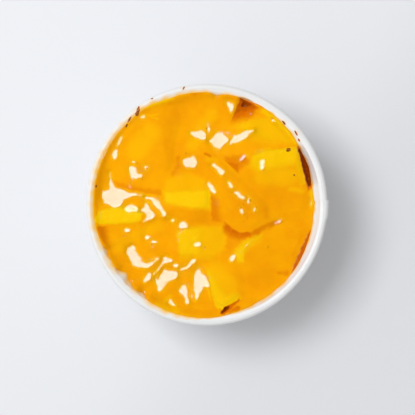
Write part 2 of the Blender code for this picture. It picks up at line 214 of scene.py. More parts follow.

# Flat places with straight edges, flesh partly with painted light on lit faces: strength and corners of (X,
# Y, softness of the next edge) in millimetres
PALE_AND_LIT_FACES = {
    "front band of the centre chunk": (1, [
        (-16.9, 0.7, 1.2), (-6.8, -1.3, 1.2), (1.3, -1.7, 0.4), (1.1, 6, 1.4), (-17.5, 5.5, 0.9)]),
    "top of the centre chunk": (0.42, [
        (-17.7, 5.1, 1), (1.7, 5.5, 1), (-0.7, 10, 1.5), (-8.4, 13.2, 1.5), (-16.1, 10, 0.8)]),
    "left slice": (1, [
        (-43.6, -7.8, 0.25), (-36, -7.8, 0.25), (-27.5, -7, 0.4), (-25.8, -3.8, 0.8), (-27.9, -0.9, 1),
        (-37.2, -0.5, 0.8), (-43.6, -2.6, 0.4), (-45.9, -6.6, 0.3)]),
    "lower centre chunk": (0.52, [
        (-10.9, -22.4, 2), (2.1, -22.4, 1.8), (7.4, -17.5, 0.8), (7.8, -12.7, 0.5), (6.2, -8.6, 1),
        (-7.6, -8.6, 0.9), (-12.5, -10.6, 0.9)]),
    "lower centre chunk's left": (0.9, [
        (-10.9, -20.8, 2), (-1.9, -20.4, 3.6), (-1.5, -9.4, 1), (-7.6, -9.4, 0.9), (-12.3, -11.1, 0.9)]),
    "bottom chunk": (0.92, [
        (3.3, -41, 0.5), (5.7, -43.4, 0.5), (7.8, -42.2, 1.2), (8.6, -37.4, 3.2), (1.7, -26, 1.6),
        (-0.3, -26, 0.3)]),
    "bottom chunk's foot": (0.88, [
        (5.7, -43.4, 0.4), (13.8, -38, 1.6), (11.8, -35.3, 2.4), (3.7, -37, 0.5)]),
    "tip of the lower right chunk": (0.9, [
        (10.6, -19.2, 0.9), (12.8, -23.2, 0.9), (15.1, -23.4, 0.3), (14.9, -14.7, 1.2)]),
    "ridge of the lower right chunk": (0.74, [
        (14.7, -19.6, 2.2), (22.4, -13.1, 1), (22.4, -11.1, 0.9), (14.3, -14.9, 0.8)]),
    "right chunk": (0.92, [
        (17.5, 16.1, 2.4), (20.7, 13.2, 3), (36.1, 16.1, 2.4), (37.7, 19.7, 0.4), (36.1, 23.4, 0.3),
        (22.4, 21.7, 0.5), (18.3, 19.3, 0.9)]),
    "right chunk's edge": (0.62, [
        (34.9, 18.1, 1.4), (38.1, 7.6, 0.8), (40.4, 8.4, 0.25), (39, 13.2, 0.25), (35.7, 23, 1.4)]),
    "upper right chunk": (0.62, [
        (22.4, 26.2, 1.6), (35.7, 24.6, 0.8), (24.8, 35.1, 0.9), (15.9, 33.9, 1), (9.8, 31.5, 2.2)]),
}

# Faces of painted shade, on sides turned from the light, under chunks and in the dark hollows: strength and
# corners of (X, Y, softness of the next edge) in millimetres
DEEP_SHADE_FACES = {
    "front of the centre chunk": (0.12, [
        (-15.7, -4.2, 0.6), (-6.8, -7.4, 0.5), (2.5, -7, 0.4), (2.1, -2.6, 0.8), (-6.8, -2.1, 0.8),
        (-16.5, -1.7, 0.6)]),
    "right of the centre chunk": (0.36, [(1.9, -7, 1), (6.2, -7, 2.2), (4.9, 1.9, 1.5), (1.7, 5.1, 0.4)]),
    "upper right hollow": (0.6, [
        (10, 33.9, 2.4), (18.3, 35.9, 1.4), (21.1, 39.2, 0.4), (13.6, 43.5, 0.25)]),
    "upper right hollow's middle": (0.72, [
        (11.4, 35.7, 2), (17.1, 37.1, 0.8), (20.5, 39.6, 0.4), (13.8, 43.4, 0.25)]),
    "upper right hollow's core": (0.86, [
        (13.8, 38.5, 1.4), (17.1, 39.2, 0.6), (19.5, 40.4, 0.6), (14.3, 43.4, 0.6)]),
    "right slit": (0.92, [
        (38.5, 16.1, 0.3), (41, 7, 0.4), (42.8, 8, 0.25), (42.7, 12, 0.25), (41.5, 16.9, 0.25),
        (39.5, 21.3, 0.25), (36.6, 23.8, 0.3)]),
    "right slit's foot": (0.55, [(41, 5.5, 0.6), (42.8, 6.8, 0.4), (42.2, 10, 0.4), (40, 9.2, 0.4)]),
    "lower right edge": (0.68, [
        (42.4, -9.6, 0.6), (40, -13.9, 0.4), (38.1, -18.3, 0.3), (35.8, -23.3, 0.3), (34.2, -27.7, 0.4),
        (35.9, -27.9, 0.4), (39.8, -22.2, 0.4), (42.4, -16.3, 0.4), (43.2, -10.6, 0.4)]),
    "bottom hollow": (0.62, [
        (7, -44.5, 0.5), (9.4, -42.6, 0.6), (13, -39.4, 0.3), (13.2, -38, 0.25), (6.2, -42.4, 0.25),
        (5.3, -43.9, 0.3)]),
    "bottom hollow's end": (0.9, [
        (6.6, -44.3, 0.5), (8.6, -42.4, 0.5), (9.8, -40.4, 0.3), (6, -42.6, 0.25), (5.3, -44.1, 0.3)]),
    "under the slice": (0.6, [(6.6, -10.6, 2.4), (9.8, -13.1, 2), (10.6, -9.8, 0.5), (7.4, -7, 1.6)]),
    "under the slice's corner": (0.62, [
        (9, -12.7, 2.6), (13, -13.9, 1.6), (13.8, -11.5, 0.5), (9.8, -9.4, 1.2)]),
    "under the slice's tip": (0.54, [
        (13, -14.3, 1.6), (17.9, -13.1, 0.8), (18.3, -11.3, 0.5), (12.6, -11.1, 1.6)]),
    "between the right chunks": (0.38, [
        (19.1, -13.5, 1), (26, -8.4, 1.2), (24.4, -7, 0.9), (17.1, -11.5, 1.4)]),
    "between the right chunks' end": (0.36, [
        (24.8, -10, 1), (31.3, -7, 0.9), (30, -5.6, 0.9), (23.6, -7.6, 1.2)]),
    "over the slice": (0.34, [
        (9, 16.7, 0.5), (13.4, 13.6, 1.6), (17.9, 17.3, 1.2), (15.1, 20.5, 1.4), (6.2, 19.7, 0.4)]),
    "crease over the slice": (0.5, [(12.8, 12.6, 1.6), (13.8, 17.1, 1.4), (7, 18.1, 0.5)]),
    "under the left slice": (0.42, [
        (-43.9, -11.9, 0.8), (-42, -15.5, 1.2), (-40, -16.7, 2.2), (-40, -8.6, 0.3), (-44.7, -8.6, 0.7)]),
    "under the upper left chunk": (0.26, [
        (-36.8, 7.2, 0.4), (-27, 5.3, 0.8), (-27, 7.2, 1.2), (-38.4, 9.8, 0.8)]),
    "under the upper left chunk's corner": (0.3, [
        (-27.5, 5.3, 0.4), (-18.1, 3.5, 0.5), (-18.5, 6.2, 1.2), (-27.5, 7.2, 0.8)]),
    "below the lower centre chunk": (0.16, [
        (7.8, -17.9, 2), (10.2, -19.2, 2), (10.6, -14.3, 1), (8.2, -12.7, 0.5)]),
}

# Distance of the food's edge from the axis in millimetres, every ten degrees from +X
FOOD_EDGE = [
    43.4, 43.2, 44.2, 44, 44.6, 44.9, 45.2, 45.2, 45,
    45.1, 45.4, 45.3, 46.4, 46.1, 46.2, 46.1, 46, 46,
    45.7, 45.8, 45.1, 44.8, 45, 44.8, 45.4, 45.8, 45.8,
    45.8, 45.1, 44.7, 44.4, 44.3, 44.3, 44, 43.6, 43.4,
]

# How far the stain reaches beyond the food, wider where the rim faces the food to paint its bounced orange
# light: angle in degrees and distance in millimetres
STAIN_AND_BOUNCE_REACH = [
    (0, 0.7), (20, 0.7), (60, 0.8), (90, 1.6), (150, 2.2), (210, 2.8), (240, 2.2), (270, 0.9), (300, 1.3),
    (330, 0.7), (360, 0.7),
]

# Notches where the wall shows beside the food: angle and half width in degrees, depth in millimetres
NOTCHES = [
    (220.5, 3, 2.4), (226, 1.6, 0.8), (234.5, 2.2, 1.1), (205, 1.8, 0.7), (85, 2.4, 0.8), (1, 1.2, -0.5),
]

# Small bubbles in the sauce: X, Y and diameter in millimetres
BUBBLES = [
    (13.6, -1.2, 1.1), (14.6, 0, 0.6), (12.9, 0.2, 0.5), (19.9, -0.9, 0.9), (17.4, 1.6, 1.2),
    (16.2, -5.2, 0.7), (14.9, -6.6, 0.5), (24.6, -17, 1.1), (-0.9, -17.3, 0.8), (-28.3, 16.8, 0.9),
    (-24.4, 14.6, 0.8), (-26.2, 10.6, 0.6), (-33.4, -12.4, 0.5), (-22.2, -15.9, 0.8), (-15.2, -7.9, 0.6),
    (-0.4, 30.7, 0.9), (26.4, 35, 1.2), (-8.6, 20.8, 0.8),
]

# Dried specks on the paper and the fruit: X, Y, length, width in millimetres and turn in degrees
SPECKS = [
    (-27.8, 37.9, 4, 1.3, 77), (-28.2, 36.6, 1.8, 1.5, 80), (-31.2, 34.4, 3, 0.6, 58),
    (-32.4, 31.9, 1.6, 0.7, 62), (-9.3, 47, 1.8, 0.5, 65), (-22.1, 42.8, 1, 0.5, 10),
    (31.1, 33.1, 2.2, 0.7, -48), (36, 28.9, 2.4, 0.6, -60), (37.2, 26.1, 1.4, 0.6, -58),
    (33, 22.2, 2, 1.5, 30), (35.3, 12, 0.8, 0.7, 0), (-44.7, 7.4, 1, 0.6, 80),
]


def length_value(name, description, default):
    """A size, with its default in millimetres."""
    return FloatProperty(name=name, description=description, default=default * MM, unit="LENGTH")


def angle_value(name, description, default):
    """An angle, with its default in degrees."""
    return FloatProperty(name=name, description=description, default=math.radians(default), subtype="ANGLE")


def plain_value(name, description, default):
    return FloatProperty(name=name, description=description, default=default)


def colour_value(name, description, default):
    return FloatVectorProperty(name=name, description=description, default=default, subtype="COLOR")


class CupSettings(bpy.types.PropertyGroup):
    roll_radius: length_value("Roll Radius", "Radius of the rolled rim's section", 1.6)
    roll_fall: plain_value("Roll Fall", "Fall of the rim's inner side, as a share of its radius", 0.24)
    paper: length_value("Paper", "Thickness of the paper", 0.5)
    base_radius: length_value("Base Radius", "Outer radius of the cup where it stands", 38)
    hem_height: length_value("Hem Height", "Height of the turned-in hem round the base", 5)
    base_level: length_value("Base Level", "Height of the underside of the recessed base", 6.2)
    seam_step: length_value("Seam Step", "How far the lapped side seam stands out", 0.45)
    seam_angle: angle_value("Seam Angle", "Where the outer layer of the seam ends", 2.2)
    wobble: length_value("Wobble", "How far the cup is out of round", 0.3)
    steps: IntProperty(name="Steps", description="Steps round the cup", default=360)
    colour: colour_value("Paper Colour", "Colour of the coated paper", (0.78, 0.78, 0.775))
    # Sauce stain on the paper, and painted orange light bounced from the food where the rim faces it
    stain_and_bounce: colour_value("Stain", "Colour of the sauce that has wetted the paper", (0.93, 0.51, 0.03))


class SauceSettings(bpy.types.PropertyGroup):
    cell: length_value("Cell", "Spacing of the height map of the wet surface", 0.25)
    soften: length_value("Soften", "How far the sauce rounds the edges that it covers", 0.5)
    bank: angle_value("Bank", "Steepest slope of the sauce round a chunk", 12.5)
    light_bank: angle_value("Light Bank", "The same on a chunk's side towards the light", 4.5)
    film: length_value("Film", "Thickness of the sauce over a covered chunk", 0.02)
    swell: length_value("Swell", "Height of the slow waves in the wet surface", 0.04)
    uneven: plain_value("Uneven", "Unevenness of the slopes that mirror the light", 0.015)
    ragged: length_value("Ragged", "Unevenness of the outline of a glint or a mark", 0.12)
    # Painted highlight glow: sauce painted yellower round each glint
    painted_glow: plain_value("Glow", "How much yellower the sauce is round a glint", 0.5)
    clear: plain_value("Clear", "Slope that keeps the places beside a glint off the light", 0.13)
    steady: length_value("Steady", "Distance over which the places beside the glints turn the same way", 0.8)
    passes: IntProperty(name="Passes", description="Rounds of turning the glints to the light", default=14)
    give: plain_value("Give", "How easily the surface beside a glint changes its slope", 0.06)
    spread: length_value("Spread", "How far a glint's slope changes the height round it", 10)
    meniscus: length_value("Meniscus", "How far the sauce climbs the paper", 0.12)
    steps: IntProperty(name="Steps", description="Quads across the sauce", default=306)
    colour: colour_value("Sauce Colour", "Colour of the sauce", (0.93, 0.385, 0.0015))
    # Thin sauce colour, also used for painted light on lit edges and round the glints
    pale: colour_value("Thin Sauce", "Colour where yellow flesh shows through the sauce", (0.95, 0.55, 0.002))
    # Thick sauce colour, also used for painted shade in the creases
    orange: colour_value("Thick Sauce", "Colour where the sauce lies thick in a crease", (0.69, 0.15, 0.001))
    # Painted shade at the bottom of the dark hollows
    dark: colour_value("Deep Sauce", "Colour at the bottom of the dark hollows", (0.20, 0.022, 0.0005))


class ChunkSettings(bpy.types.PropertyGroup):
    voxel: length_value("Voxel", "Size of the mesh of each chunk", 0.42)
    proud: length_value("Proud", "How far bare flesh stands above the sauce mesh under it", 0.012)
    fibre: colour_value("Fibre", "Colour of the fibres in the flesh", (0.99, 0.66, 0.02))


class StageSettings(bpy.types.PropertyGroup):
    floor_colour: colour_value("Floor", "Colour of the floor", (0.79, 0.80, 0.825))
    light_tilt: angle_value("Light Tilt", "Angle of the soft light from straight above", 21)
    light_turn: angle_value("Light Turn", "Direction of the soft light, counter-clockwise from +X", 150)
    light_distance: length_value("Light Distance", "From the soft light to the cup", 900)
    light_size: length_value("Light Size", "Side of the soft light", 300)
    light_power: plain_value("Light Power", "Power of the soft light in watts", 4.75)
    fill: plain_value("Fill", "Brightness of the room", 0.6)
    lean: plain_value("Lean", "How much brighter the room is on the left than on the right", 0.42)
    camera_height: length_value("Camera Height", "From the rim to the camera", 620)
    frame_width: length_value("Frame Width", "Width that the picture shows at the rim", 167.4)
    frame_x: length_value("Frame X", "Middle of the picture along X", 0.28)
    frame_y: length_value("Frame Y", "Middle of the picture along Y", -1.13)


class MangoCupSettings(bpy.types.PropertyGroup):
    cup: PointerProperty(type=CupSettings)
    sauce: PointerProperty(type=SauceSettings)
    chunks: PointerProperty(type=ChunkSettings)
    stage: PointerProperty(type=StageSettings)


def settings():
    return bpy.context.scene.mango_cup


def smoothstep(low, high, value):
    t = np.clip((value - low) / (high - low), 0, 1)
    return t * t * (3 - 2 * t)


def swell(x, y, length, seed, waves=16):
    """Smooth random waves of about one wavelength, with a spread of 1."""
    rng = np.random.default_rng(seed)
    total = np.zeros_like(x)
    for _ in range(waves):
        turn = rng.uniform(0, 2 * math.pi)
        number = 2 * math.pi / (length * rng.uniform(0.75, 1.35))
        phase = rng.uniform(0, 2 * math.pi)
        total += np.cos(number * (x * math.cos(turn) + y * math.sin(turn)) + phase)
    return total * math.sqrt(2 / waves)


def round_cup(values, around):
    """Values kept for each degree round the cup, at any angle in degrees."""
    return np.interp(around, DEGREES, values, period=360)


def food_edge(around):
    """Distance of the food's edge from the axis at an angle in degrees."""
    edge = np.interp(around, DEGREES[::10], FOOD_EDGE, period=360)
    for middle, half, depth in NOTCHES:
        away = (around - middle + 180) % 360 - 180
        edge = edge - depth * np.exp(-((away / half) ** 2))
    return edge * MM


def edge_level(around):
    """Height at which the food meets the paper at an angle in degrees."""
    return round_cup(wet_surface().edges, around)


def wall_outer(z):
    """Outer radius of the paper wall at a height."""
    cup = settings().cup
    top_radius = RIM_RADIUS - 2 * cup.roll_radius + cup.paper
    slope = (top_radius - cup.base_radius) / (RIM_TOP - cup.roll_radius)
    return cup.base_radius + slope * z


def wall_inner(z):
    return wall_outer(z) - settings().cup.paper


def wall_swelling(around, z):
    """How far the damp paper stands in beside the food: a slope down to the food's edge."""
    below = RIM_TOP - z
    foot = np.maximum(RIM_TOP - edge_level(around), DAMP_LEAST)
    lip = RIM_TOP - settings().cup.roll_radius
    thick = np.clip(wall_inner(np.minimum(RIM_TOP - foot, lip)) - food_edge(around), 0, DAMP_MOST)
    slope = np.clip((below - DAMP_START) / (foot - DAMP_START), 0, 1)
    return thick * slope**1.2 * (1 - smoothstep(*DAMP_FADE, below))


def inner_radius(around, z):
    """Inner radius of the wall and of the rolled rim above it."""
    cup = settings().cup
    inward = np.sqrt(np.clip((RIM_TOP - z) / (cup.roll_fall * cup.roll_radius), 0, 1))
    plain = wall_inner(np.minimum(z, RIM_TOP - cup.roll_radius)) + cup.roll_radius * (1 - inward)
    return plain - wall_swelling(around, z) * (0.5 + 0.5 * inward)


def contact_height(edge, level):
    """Height at which the food meets the paper: on the roll where its edge lies that far out."""
    cup = settings().cup
    across = np.clip((RIM_RADIUS - edge) / cup.roll_radius - 1, 0, 1)
    on_roll = RIM_TOP - cup.roll_fall * cup.roll_radius * across**2
    lip = wall_inner(RIM_TOP - cup.roll_radius)
    return level + (on_roll - level) * smoothstep(lip - CLIMB_START, lip - CLIMB_END, edge)


def light_place():
    """Where the soft light stands."""
    stage = settings().stage
    tilt, turn = stage.light_tilt, stage.light_turn
    flat = math.sin(tilt)
    direction = Vector((flat * math.cos(turn), flat * math.sin(turn), math.cos(tilt)))
    return Vector((0, 0, RIM_TOP)) + direction * stage.light_distance


def stroke_reach(x, y, stroke):
    """How far points lie outside a stroke of (X, Y, radius), negative inside it."""
    points = [tuple(value * MM for value in point) for point in stroke]
    nearest = np.full_like(x, 1.0)
    for (ax, ay, ar), (bx, by, br) in zip(points, points[1:] or points, strict=False):
        dx, dy = bx - ax, by - ay
        length = max(dx * dx + dy * dy, 1e-12)
        share = np.clip(((x - ax) * dx + (y - ay) * dy) / length, 0, 1)
        away = np.hypot(x - ax - share * dx, y - ay - share * dy)
        nearest = np.minimum(nearest, away - ar - share * (br - ar))
    return nearest


def face_reach(x, y, corners):
    """How far points lie outside a convex outline, as a share of the nearest edge's softness."""
    reach = np.full_like(x, -np.inf)
    for (ax, ay, soft), (bx, by, _) in zip(corners, corners[1:] + corners[:1], strict=True):
        across = (x / MM - ax) * (by - ay) - (y / MM - ay) * (bx - ax)
        reach = np.maximum(reach, across / math.hypot(bx - ax, by - ay) / soft)
    return reach


class WetSurface:
    """Height map of the outer wet surface that the chunks and the sauce share."""

    def __init__(self):
        sauce = settings().sauce
        self.cell = sauce.cell
        count = int(2 * RIM_RADIUS / self.cell)
        self.axis = (np.arange(count) - (count - 1) / 2) * self.cell
        self.x, self.y = np.meshgrid(self.axis, self.axis)
        self.around = np.degrees(np.arctan2(self.y, self.x))
        self.inside = food_edge(self.around) - np.hypot(self.x, self.y)
        # Pale marks with painted light on lit edges; deep marks are painted shade in creases and hollows
        self.pale = self.painted(PALE_AND_LIT, PALE_AND_LIT_FACES)
        self.deep_shade = self.painted(DEEP_SHADE, DEEP_SHADE_FACES)
        self.glints = self.glint_reach()
        # Painted highlight glow round the glints, added to the pale marks
        start, end = -0.2 * MM, 1.4 * MM
        painted_glow = sauce.painted_glow * (1 - smoothstep(start, end, self.glints))
        self.pale_and_painted_light = np.maximum(self.pale, painted_glow)
        self.height = self.poured()
        self.carve()
        self.meet_paper()
        self.turn_to_light()
        self.settle_edge()

    def blurred(self, field, radius):
        """Gaussian blur of a map."""
        rows = np.fft.fftfreq(field.shape[0], self.cell)[:, None]
        columns = np.fft.rfftfreq(field.shape[1], self.cell)[None, :]
        kernel = np.exp(-2 * (math.pi * radius) ** 2 * (rows**2 + columns**2))
        return np.fft.irfft2(np.fft.rfft2(field) * kernel, field.shape)

    def sample(self, field, x, y):
        """Values of a map at any points, between its cells."""
        column = np.clip((x - self.axis[0]) / self.cell, 0, len(self.axis) - 1.001)
        row = np.clip((y - self.axis[0]) / self.cell, 0, len(self.axis) - 1.001)
        i, j = column.astype(int), row.astype(int)
        u, v = column - i, row - j
        low = field[j, i] * (1 - u) + field[j, i + 1] * u
        high = field[j + 1, i] * (1 - u) + field[j + 1, i + 1] * u
        return low * (1 - v) + high * v

    def painted(self, strokes, faces):
        """Map of the marks in two tables, each with its strength and softness."""
        ragged = settings().sauce.ragged * swell(self.x, self.y, 2.5 * MM, 5)
        field = np.zeros_like(self.x)
        for strength, soft, stroke in strokes.values():
            reach = stroke_reach(self.x, self.y, stroke) + ragged * min(soft, 1)
            mark = strength * (1 - smoothstep(-0.7 * soft * MM, 0.7 * soft * MM, reach))
            field = np.maximum(field, mark)
        for strength, corners in faces.values():
            reach = face_reach(self.x + ragged, self.y - ragged, corners)
            field = np.maximum(field, strength * (1 - smoothstep(-1, 1, reach)))
        return field

    def glint_reach(self):
        """How far each place lies outside the glint strokes."""
        strokes = [stroke for group in GLINTS.values() for stroke in group]
        reach = np.minimum.reduce([stroke_reach(self.x, self.y, stroke) for stroke in strokes])
        return reach + settings().sauce.ragged * swell(self.x, self.y, 1.8 * MM, 8)

    def look_down(self, node):
        """Height of a node's upper side, NaN where it has none."""
        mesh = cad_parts[node].data
        tree = BVHTree.FromPolygons([v.co for v in mesh.vertices], [p.vertices for p in mesh.polygons])
        low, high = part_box(node)
        heights = np.full_like(self.x, np.nan)
        for row in np.flatnonzero((self.axis >= low.y) & (self.axis <= high.y)):
            for column in np.flatnonzero((self.axis >= low.x) & (self.axis <= high.x)):
                start = Vector((self.axis[column], self.axis[row], high.z + MM))
                hit = tree.ray_cast(start, DOWN)[0]
                if hit:
                    heights[row, column] = hit.z
        return heights

    def filled(self, field, known):
        """A map whose unknown places take the values round them."""
        result = np.zeros_like(field)
        for radius in (12 * MM, 4 * MM, 0.8 * MM):
            weight = self.blurred(known.astype(float), radius)
            spread = self.blurred(np.where(known, field, 0), radius)
            result = np.where(weight > 0.02, spread / np.maximum(weight, 1e-6), result)
        return np.where(known, field, result)

    def poured(self):
        """The chunks and the sauce between them, with sauce banked up against each chunk."""
        sauce = settings().sauce
        chunks = np.fmax.reduce([self.look_down(name) for name in CHUNK_NODES])
        covered = np.isfinite(chunks)
        near = self.blurred(covered.astype(float), 0.4 * MM) > 0.05  # within about 0.7 mm of a chunk
        level = self.look_down("sauce")
        level = self.filled(level, np.isfinite(level) & ~near)
        height = np.fmax(level, np.where(covered, chunks, -1))
        light = settings().stage.light_turn
        for turn in np.radians(range(0, 360, 45)):
            height = self.banked(height, turn, math.tan(sauce.bank))
        for turn in np.radians((-24, 0, 24)):
            height = self.banked(height, light + turn, math.tan(sauce.light_bank))
        return self.blurred(height, sauce.soften) + sauce.swell * swell(self.x, self.y, 9 * MM, 3)

    def banked(self, field, turn, slope):
        """Raises a map so that it falls by at most a slope towards a direction."""
        step = self.cell
        for _ in range(7):
            behind = self.x - step * math.cos(turn), self.y - step * math.sin(turn)
            field = np.maximum(field, self.sample(field, *behind) - slope * step)
            step *= 2
        return field

    def carve(self):
        """Lowers the creases, and the dark hollows further."""
        crease, hollow = 0.8 * MM, 2.2 * MM
        self.height -= crease * self.deep_shade**2 + hollow * smoothstep(0.74, 0.92, self.deep_shade)

    def beside_paper(self, field):
        """Values of a map just inside the food's edge, at each degree round the cup."""
        furthest, step_in = 45.6 * MM, 0.3 * MM
        turn = np.radians(DEGREES)
        probe = np.minimum(food_edge(DEGREES), furthest) - step_in
        return self.sample(field, probe * np.cos(turn), probe * np.sin(turn))

    def edge_heights(self):
        """Height at which the food meets the paper at each degree round the cup."""
        level = self.beside_paper(self.height) + settings().sauce.meniscus
        rise = contact_height(food_edge(DEGREES), level) - level
        height = level + rise * (1 - smoothstep(0.4, 0.7, self.beside_paper(self.deep_shade)))
        return sum(np.roll(height, shift) for shift in range(-1, 2)) / 3

    def meet_paper(self):
        """Raises the surface to the paper round its edge, first in a wide band and then close by."""
        wide, narrow, most = 3 * MM, 0.7 * MM, 2 * MM
        inside = np.maximum(self.inside, 0)
        lift = 0.6 * np.clip(self.edge_heights() - self.beside_paper(self.height), 0, most)
        self.height += round_cup(lift, self.around) * np.exp(-inside / wide)
        self.edges = self.edge_heights()
        rise = round_cup(self.edges, self.around) - self.height
        climb = narrow + 0.9 * np.clip(rise, 0, most)
        self.height += rise * np.exp(-((inside / climb) ** 2))

    def settle_edge(self):
        """Keeps the surface from falling to the paper in the band where the food lies on the roll."""
        roll_start, band, fall, free = 45.4 * MM, 1.5 * MM, 0.05, 3
        inside = np.maximum(self.inside, 0)
        most = round_cup(self.edges, self.around) - fall * inside + free * np.maximum(inside - band, 0)
        on_roll = food_edge(self.around) > roll_start
        self.height = np.where(on_roll, np.minimum(self.height, most), self.height)

    def direction_to(self, place):
        """Unit vectors from the rim's plane to a place."""
        up = np.full_like(self.x, place.z - RIM_TOP)
        away = np.stack((place.x - self.x, place.y - self.y, up))
        return away / np.linalg.norm(away, axis=0)

    def turn_to_light(self):
        """Turns the glint strokes to mirror the soft light up to the camera, and the rest away from it."""
        sauce = settings().sauce
        stage = settings().stage
        core, outline, beyond, over_edge = -0.3 * MM, 0.07 * MM, 0.35 * MM, 0.3 * MM
        glint = 1 - smoothstep(core, outline, self.glints)
        dull = smoothstep(outline, beyond, self.glints) * (self.inside > -over_edge)
        view = Vector((stage.frame_x, stage.frame_y, RIM_TOP + stage.camera_height))
        half = self.direction_to(view) + self.direction_to(light_place())
        mirror_x = sauce.uneven * swell(self.x, self.y, 4 * MM, 31) - half[0] / half[2]
        mirror_y = sauce.uneven * swell(self.x, self.y, 4 * MM, 32) - half[1] / half[2]
        for _ in range(sauce.passes):
            rise_y, rise_x = np.gradient(self.height, self.cell)
            off_x, off_y = rise_x - mirror_x, rise_y - mirror_y
            near = dull * (np.hypot(off_x, off_y) < sauce.clear)
            lean_x = self.blurred(off_x * dull, sauce.steady)
            lean_y = self.blurred(off_y * dull, sauce.steady)
            lean = np.maximum(np.hypot(lean_x, lean_y), 1e-4) / (1.1 * sauce.clear)
            want_x = near * (lean_x / lean - off_x) - glint * off_x
            want_y = near * (lean_y / lean - off_y) - glint * off_y
            weight = np.maximum(glint + 0.6 * near, sauce.give)
            self.height += self.bent(want_x, want_y, weight)

    def bent(self, want_x, want_y, weight):
        """Change of height whose slopes come near the wanted ones, each place as firmly as its weight."""
        rows = 2 * math.pi * np.fft.fftfreq(len(self.axis), self.cell)[:, None]
        columns = 2 * math.pi * np.fft.rfftfreq(len(self.axis), self.cell)[None, :]
        stiff = rows**2 + columns**2 + 1 / settings().sauce.spread**2
        change_x, change_y = np.zeros_like(self.x), np.zeros_like(self.x)
        for _ in range(30):
            push_x = weight * want_x + (1 - weight) * change_x
            push_y = weight * want_y + (1 - weight) * change_y
            change = -1j * (columns * np.fft.rfft2(push_x) + rows * np.fft.rfft2(push_y)) / stiff
            change_x = np.fft.irfft2(1j * columns * change, self.x.shape)
            change_y = np.fft.irfft2(1j * rows * change, self.x.shape)
        return np.fft.irfft2(change, self.x.shape)


@functools.lru_cache(maxsize=1)
def wet_surface():
    return WetSurface()


def new_object(name, points, faces):
    mesh = bpy.data.meshes.new(name)
    mesh.from_pydata(np.asarray(points).tolist(), [], faces)
    mesh.validate()
    mesh.update()
    mesh.shade_smooth()
    obj = bpy.data.objects.new(name, mesh)
    bpy.context.scene.collection.objects.link(obj)
    return obj


def store(obj, name, values):
    """Keeps one number for each vertex, for the material to read."""
    attribute = obj.data.attributes.new(name, "FLOAT", "POINT")
    attribute.data.foreach_set("value", np.asarray(values, np.float32))


def dress(obj, mat):
    """Gives a piece its material and its place in the record, on the one body."""
    obj.data.materials.clear()
    obj.data.materials.append(mat)
    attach(obj, BODY)


class NodeBuilder:
    """The node tree of a material or of the room, with the last node's inputs set by name."""

    def __init__(self, owner, last="Principled BSDF", place="Object"):
        owner.use_nodes = True
        self.tree = owner.node_tree
        self.last = self.tree.nodes[last]
        self.place = self.add("ShaderNodeTexCoord", {})[place]

    def plug(self, node, inputs):
        """Gives a node's inputs their sockets or plain values."""
        for key, value in inputs.items():
            if isinstance(value, bpy.types.NodeSocket):
                self.tree.links.new(value, node.inputs[key])
            else:
                node.inputs[key].default_value = value

    def add(self, kind, inputs, **values):
        node = self.tree.nodes.new(kind)
        for key, value in values.items():
            setattr(node, key, value)
        self.plug(node, inputs)
        return node.outputs

    def set(self, **values):
        self.plug(self.last, {key.replace("_", " "): value for key, value in values.items()})

    def noise(self, scale, detail=2.0, roughness=0.5):
        inputs = {"Vector": self.place, "Scale": scale, "Detail": detail, "Roughness": roughness}
        return self.add("ShaderNodeTexNoise", inputs)["Fac"]

    def ramp(self, value, low, high, to_low=0.0, to_high=1.0, kind="SMOOTHSTEP"):
        inputs = {"Value": value, "From Min": low, "From Max": high, "To Min": to_low, "To Max": to_high}
        return self.add("ShaderNodeMapRange", inputs, interpolation_type=kind)["Result"]

    def mix(self, factor, first, second):
        """A colour between two, each a socket or three numbers."""
        ends = [end if isinstance(end, bpy.types.NodeSocket) else (*end, 1) for end in (first, second)]
        inputs = {"Factor": factor, "A": ends[0], "B": ends[1]}
        return self.add("ShaderNodeMix", inputs, data_type="RGBA")["Result"]

    def times(self, first, second):
        return self.add("ShaderNodeMath", {0: first, 1: second}, operation="MULTIPLY")["Value"]

    def attribute(self, name):
        return self.add("ShaderNodeAttribute", {}, attribute_name=name)["Fac"]

    def bump(self, height, distance, strength):
        inputs = {"Height": height, "Distance": distance, "Strength": strength}
        self.set(Normal=self.add("ShaderNodeBump", inputs)["Normal"])


def new_material(name):
    mat = bpy.data.materials.new(name)
    return mat, NodeBuilder(mat)


def wet_finish(nodes, colour):
    """Gloss and depth that the chunks and the sauce share."""
    nodes.set(Base_Color=colour, Roughness=0.05, IOR=1.45, Specular_IOR_Level=0.5)
    nodes.set(Specular_Tint=(0.4, 0.6, 0.95, 1.0))
    nodes.set(Subsurface_Weight=0.2, Subsurface_Scale=0.001, Subsurface_Radius=(2.2, 0.9, 0.15))


def fruit_colour(nodes, scale):
    """Yellow where flesh shows and where light is painted on lit edges and round the glints, orange where
    sauce lies thick and in painted crease shade, and painted shade dark in the hollows.
    """
    sauce = settings().sauce
    patches = nodes.ramp(nodes.noise(scale, 3), 0.36, 0.68, 0.0, 0.22)
    colour = nodes.mix(patches, sauce.colour, sauce.orange)
    # Painted light: the pale attribute also holds lit edges and the glow round the glints
    colour = nodes.mix(nodes.attribute("pale"), colour, sauce.pale)
    deep_shade = nodes.attribute("deep_shade")
    # Painted shade: orange in the creases
    colour = nodes.mix(nodes.ramp(deep_shade, 0.0, 0.62), colour, sauce.orange)
    # Painted shade: dark at the bottom of the hollows
    return nodes.mix(nodes.ramp(deep_shade, 0.55, 1.0), colour, sauce.dark)


